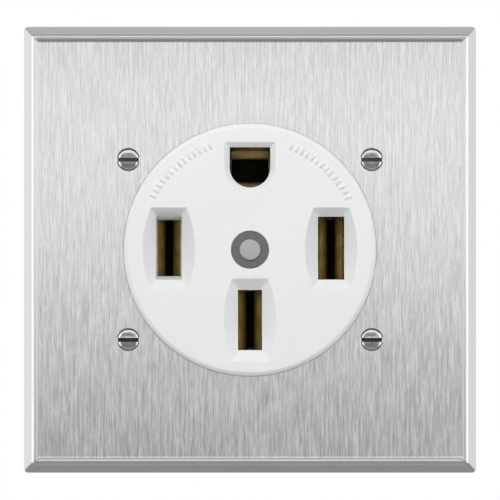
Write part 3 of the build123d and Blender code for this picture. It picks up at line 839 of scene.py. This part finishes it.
# Screws: turned heads with a milled slot, and a real thread on the shank
screwKinds = {
    "plate": {
        "nodes": ["plate_screw_1", "plate_screw_2", "plate_screw_3", "plate_screw_4"],
        "inward": [(0, 1, 0)] * 4,
        "head": "oval", "headRadius": 2.72, "headHeight": 0.75, "coneDepth": 1.166,
        "shankRadius": 1.75, "pitch": 0.794, "ridge": 0.24,
        "slotWidth": 1.05, "slotDepth": 0.95, "slotTurn": 0,
        "slots": ["plated_screw"] * 4,
    },
    "body": {
        "nodes": ["body_screw_1", "body_screw_2", "body_screw_3", "body_screw_4"],
        "inward": [(0, -1, 0)] * 4,
        "head": "pan", "headRadius": 3.3, "headHeight": 2.2, "coneDepth": 0,
        "shankRadius": 1.75, "pitch": 1.0, "ridge": 0.28,
        "slotWidth": 0.8, "slotDepth": 0.95, "slotTurn": 90,
        "slots": ["plated_screw"] * 4,
    },
    "lug": {
        "nodes": ["hot_left_screw", "hot_right_screw", "neutral_screw", "ground_screw"],
        "inward": [(1, 0, 0), (-1, 0, 0), (0, 0, 1), (0, 0, -1)],
        "head": "hex", "headRadius": 4.0, "headHeight": 2.2, "coneDepth": 0,
        "shankRadius": 3.0, "pitch": 1.0, "ridge": 0.3,
        "slotWidth": 1.2, "slotDepth": 1.1, "slotTurn": 0,
        "slots": ["brass_screw", "brass_screw", "silver_screw", "green_screw"],
    },
}


def screwBlank(kind, length):  # head and core along +Y, with the top of the head at Y = 0
    head, tall = kind["headRadius"], kind["headHeight"]
    core = kind["shankRadius"] - 2 * kind["ridge"]
    root = kind["shankRadius"] - kind["ridge"]
    tip = [(core, length - 0.5), (core * 0.72, length), (0, length)]
    if kind["head"] == "oval":
        sweep = 1.15  # radians, from the middle of the dome to its edge
        dome = [(head * math.sin(a) / math.sin(sweep), tall * (1 - math.cos(a)) / (1 - math.cos(sweep)))
                for a in [sweep * k / 8 for k in range(9)]]
        foot = tall + kind["coneDepth"]
        profile = dome + [(head, tall + 0.05), (kind["shankRadius"], foot), (core, foot + 0.3)] + tip
        blank = lathe(profile, steps=64)
    elif kind["head"] == "pan":
        soft = tall * 0.45
        curve = [(head - soft + soft * math.sin(a), soft - soft * math.cos(a))
                 for a in [math.pi / 2 * k / 8 for k in range(9)]]
        blank = lathe([(0, 0)] + curve + [(head, tall), (root, tall), (core, tall + 0.4)] + tip, steps=64)
    else:
        corner = [math.radians(60 * k + 30) for k in range(6)]
        loops = [[(r * math.cos(a), y, r * math.sin(a)) for a in corner]
                 for r, y in [(head * 0.9, 0), (head, 0.3), (head, tall - 0.15), (head * 0.95, tall)]]
        neck = [(0, tall - 0.3), (root, tall - 0.3), (root, tall + 0.2), (core, tall + 0.5)]
        blank = combine(loft(loops), lathe(neck + tip, steps=48), "UNION")
    wide, deep, turn = kind["slotWidth"] / 2, kind["slotDepth"], math.radians(kind["slotTurn"])
    groove = loft([[(-2 * head, y, -wide), (2 * head, y, -wide), (2 * head, y, wide), (-2 * head, y, wide)]
                   for y in (-1, deep)])
    groove.transform(Matrix.Rotation(turn, 4, "Y"))
    return combine(blank, groove, "DIFFERENCE")


def makeScrews(kind):
    for node, inward, slotName in zip(kind["nodes"], kind["inward"], kind["slots"]):
        low, high = boxInMm(node)
        axis = Vector(inward)
        middle = (low + high) / 2
        reach = abs((high - low).dot(axis))
        top = middle - axis * reach / 2
        place = Matrix.Translation(top) @ Vector((0, 1, 0)).rotation_difference(axis).to_matrix().to_4x4()
        mesh = screwBlank(kind, reach)
        start = kind["headHeight"] + kind["coneDepth"] + kind["ridge"] + 0.1
        turns = (reach - start - kind["ridge"] - 0.3) / kind["pitch"]
        mesh = grown(toMetres(mesh), threads, {
            "Radius": kind["shankRadius"] * mm, "Pitch": kind["pitch"] * mm, "Turns": turns,
            "Ridge": kind["ridge"] * mm, "Place": (0, start * mm, 0), "Turn": (math.radians(-90), 0, 0),
            "Material": finishes[slotName],
        })
        mesh.transform(Matrix.Scale(mm, 4) @ place @ Matrix.Scale(1 / mm, 4))
        makePiece("turned" + joinedName(node), shadeSoftly(mesh), slotName, [node])


for kind in screwKinds.values():
    makeScrews(kind)
print("screws ready")


# Centre rivet and its two washers, with rolled and rounded edges
rivetLook = {
    "shank": 2.2,
    "head": 2.65,
    "headHeight": 0.7,
    "headRound": 0.22,
    "tail": 3.0,
    "tailHeight": 0.9,
    "tailDome": 0.54,  # the part of the tail's height that is domed
}
washerLook = {"bore": 2.35, "edge": 0.14}
washers = {
    "roundedFrontWasher": {"node": "front_washer", "slot": "dark_washer"},
    "roundedRearWasher": {"node": "rear_washer", "slot": "galvanised_strap"},
}


def makeRivet(look):
    low, high = boxInMm("centre_rivet")
    head, soft, tail, dome = look["head"], look["headRound"], look["tail"], look["tailDome"]
    neck, collar = low.y + look["headHeight"], high.y - look["tailHeight"]
    profile = [(0, low.y), (head - soft * 2.5, low.y + 0.02)]
    profile += [(head - soft + soft * math.sin(a), low.y + 0.06 + soft * (1 - math.cos(a)))
                for a in [math.pi / 2 * k / 6 for k in range(7)]]
    profile += [(head, neck), (look["shank"], neck), (look["shank"], collar), (tail, collar)]
    profile += [(tail * math.cos(a), high.y - dome + dome * math.sin(a))
                for a in [math.pi / 2 * k / 8 for k in range(8)]]
    profile.append((0, high.y))
    makePiece("domedRivet", shadeSoftly(toMetres(lathe(profile, steps=64))), "rivet_metal", ["centre_rivet"])


def makeWasher(name, washer, look):
    low, high = boxInMm(washer["node"])
    radius, bore, edge = (high.x - low.x) / 2, look["bore"], look["edge"]
    profile = [
        (bore, low.y + edge), (bore + edge, low.y), (radius - edge, low.y),
        (radius - edge * 0.3, low.y + edge * 0.3), (radius, low.y + edge),
        (radius, high.y - edge), (radius - edge, high.y), (bore, high.y),
    ]
    mesh = lathe(profile, steps=80, closed=True)
    makePiece(name, shadeSoftly(toMetres(mesh)), washer["slot"], [washer["node"]])


makeRivet(rivetLook)
for name, washer in washers.items():
    makeWasher(name, washer, washerLook)
print("rivet ready")


# Contacts: the sheet of each jaw bent with round bends, which catch the light at the throat
jawLook = {
    "sheet": 1.15,
    "start": 1.2,
    "belly": 10.0,
    "floor": 16.0,
    "steps": 7,
    "lipWing": 0.95,
    "wingEnd": 9.5,
}
# Half gaps between the leaves at the lips, throat and belly; bend radii at the belly, throat and floor
bladeJaw = {"across": "x", "gaps": (2.9, 0.75, 2.3), "bends": (1.2, 1.6, 0.9), "throat": 5.5}
pinJaw = {"across": "z", "gaps": (4.9, 2.8, 4.0), "bends": (0.9, 1.3, 0.9), "throat": 3.7}
jaws = {"hot_left": bladeJaw, "hot_right": bladeJaw, "neutral": bladeJaw, "ground": pinJaw}


def roundedPath(corners, radii, steps):  # a polyline with an arc at each inner corner
    path = [Vector(corners[0])]
    for before, corner, after, radius in zip(corners, corners[1:], corners[2:], radii):
        back = (Vector(before) - Vector(corner)).normalized()
        ahead = (Vector(after) - Vector(corner)).normalized()
        half = back.angle(ahead) / 2
        centre = Vector(corner) + (back + ahead).normalized() * radius / math.sin(half)
        first = Vector(corner) + back * radius / math.tan(half) - centre
        last = Vector(corner) + ahead * radius / math.tan(half) - centre
        turn = first.angle_signed(last)
        for k in range(steps + 1):
            angle = -turn * k / steps
            path.append(centre + Matrix.Rotation(angle, 2) @ first)
    path.append(Vector(corners[-1]))
    return path


def sheetOutline(path, thickness):  # both sides of a bent sheet that follows the path
    sides = []
    for k, point in enumerate(path):
        ahead = path[min(k + 1, len(path) - 1)] - path[max(k - 1, 0)]
        across = Vector((-ahead.y, ahead.x)).normalized() * thickness / 2
        sides.append((point + across, point - across))
    return [pair[0] for pair in sides] + [pair[1] for pair in reversed(sides)]


def makeContact(name, jaw, look):
    low, high = boxInMm(name + "_contact")
    middle = (low + high) / 2
    lip, throat, belly = (gap + look["sheet"] / 2 for gap in jaw["gaps"])
    floor = look["floor"] + look["sheet"] / 2
    leaf = [(lip, look["start"]), (throat, jaw["throat"]), (belly, look["belly"]), (belly, floor)]
    mirrored = [(-x, y) for x, y in reversed(leaf)]
    soft, bend, foot = jaw["bends"]
    path = roundedPath(leaf + mirrored, [bend, soft, foot, foot, soft, bend], look["steps"])
    wing = [point for point in path if point.x > 0 and point.y < look["wingEnd"]]
    wings = [wing, [Vector((-point.x, point.y)) for point in wing]]
    if jaw["across"] == "x":
        near, far = low.z, high.z
    else:
        near, far = low.x, high.x

    def bentSheet(line, start, end):
        outline = sheetOutline(line, look["sheet"])
        if jaw["across"] == "x":
            return loft([[(middle.x + p.x, p.y, z) for p in outline] for z in (start, end)])
        return loft([[(x, p.y, middle.z + p.x) for p in outline] for x in (start, end)])

    mesh = bentSheet(path, near, far)
    if jaw["across"] == "x":  # the lips reach a little further up and down than the rest of the jaw
        reach = look["lipWing"]
        lips = [bentSheet(line, near - reach, far + reach) for line in wings]
        mesh = combine(mesh, together(lips), "UNION")
    pieceName = "bent" + joinedName(name) + "Contact"
    makePiece(pieceName, shadeSoftly(toMetres(mesh)), "brass", [name + "_contact"])


for name, jaw in jaws.items():
    makeContact(name, jaw, jawLook)
print("contacts ready")


# Hidden sheet and moulded parts: the worked-out form with its edges rolled or broken, as tools leave them
softParts = {
    "stampedStrap": {"node": "mounting_strap", "edge": 0.22, "slot": "galvanised_strap"},
    "stampedBondingStrip": {"node": "bonding_strip", "edge": 0.15, "slot": "brass"},
    "mouldedRearHousing": {"node": "rear_housing", "edge": 0.35, "slot": "dark_body"},
    "mouldedRearCover": {"node": "rear_cover", "edge": 0.3, "slot": "dark_body",
                         "funnel": 0.9, "wireHole": 4.3, "wireFromLug": 6.8},
}
poleSides = {"hot_left": (-1, 0), "hot_right": (1, 0), "neutral": (0, -1), "ground": (0, 1)}
for pole in poleSides:
    label = joinedName(pole)
    softParts["drawn" + label + "Lug"] = {"node": pole + "_lug", "edge": 0.3, "slot": "lug_metal"}
    softParts["folded" + label + "Bar"] = {"node": pole + "_bar", "edge": 0.12, "slot": "brass"}
    softParts["folded" + label + "Spring"] = {"node": pole + "_spring", "edge": 0.08, "slot": "spring_steel"}


def nodeMesh(node):  # a copy of a node's mesh in millimetres, with its flat faces whole again
    shape = bmesh.new()
    shape.from_mesh(nodes[node].data)
    shape.transform(Matrix.Scale(1 / mm, 4) @ nodes[node].matrix_world)
    bmesh.ops.remove_doubles(shape, verts=shape.verts, dist=0.0005)
    bmesh.ops.dissolve_limit(shape, angle_limit=math.radians(0.6), verts=shape.verts, edges=shape.edges)
    return toMesh(shape)


def wireFunnels(look):
    back = boxInMm("rear_cover")[1].y
    narrow, deep = look["wireHole"] - 0.05, look["funnel"]
    wide, start, end = narrow + deep + 1.05, back - deep - 0.05, back + 1
    profile = [(0, start), (narrow, start), (wide, end), (0, end)]
    funnels = []
    for pole, side in poleSides.items():
        low, high = boxInMm(pole + "_lug")
        middle = (low + high) / 2
        half = ((high.x - low.x) * abs(side[0]) + (high.z - low.z) * abs(side[1])) / 2
        shift = look["wireFromLug"] - half
        centre = (middle.x + side[0] * shift, middle.z + side[1] * shift)
        funnels.append(lathe(profile, centre, 64))
    return together(funnels)


def brokenEdges(mesh, width):
    holder = bpy.data.objects.new("holder", mesh)
    scene.collection.objects.link(holder)
    step = holder.modifiers.new("edges", "BEVEL")
    step.width = width
    step.segments = 2
    step.limit_method = "ANGLE"
    step.angle_limit = math.radians(32)
    step.use_clamp_overlap = False
    return evaluated(holder)


def makeSoftPart(name, look):
    mesh = nodeMesh(look["node"])
    if "funnel" in look:
        mesh = combine(mesh, wireFunnels(look), "DIFFERENCE")
    mesh = brokenEdges(mesh, look["edge"])
    makePiece(name, shadeSoftly(toMetres(mesh), 50), look["slot"], [look["node"]])


for name, look in softParts.items():
    makeSoftPart(name, look)
print("hidden parts ready")


# Moulded ticks near the rim of the face, left and right of the top
tickLook = {
    "radius": 28.4,
    "starts": (111, 28),  # degrees from the right
    "sweep": 40,
    "count": 14,
    "length": 2.1,
    "width": 0.85,
    "height": tickHeight,
    "topShare": 0.22,
}


def makeTicks(look):
    meshes = []
    for start in look["starts"]:
        meshes.append(grown(bpy.data.meshes.new("empty"), ticks, {
            "Radius": look["radius"] * mm, "Start Angle": math.radians(start),
            "Sweep Angle": math.radians(look["sweep"]), "Count": look["count"],
            "Size": tuple(value * mm for value in (look["length"], look["height"], look["width"])),
            "Top": look["topShare"], "Place": (0, (faceLow.y + look["height"]) * mm, 0),
            "Material": finishes["white_face"],
        }))
    makePiece("faceTicks", together(meshes), "white_face")


makeTicks(tickLook)
print("ticks ready")
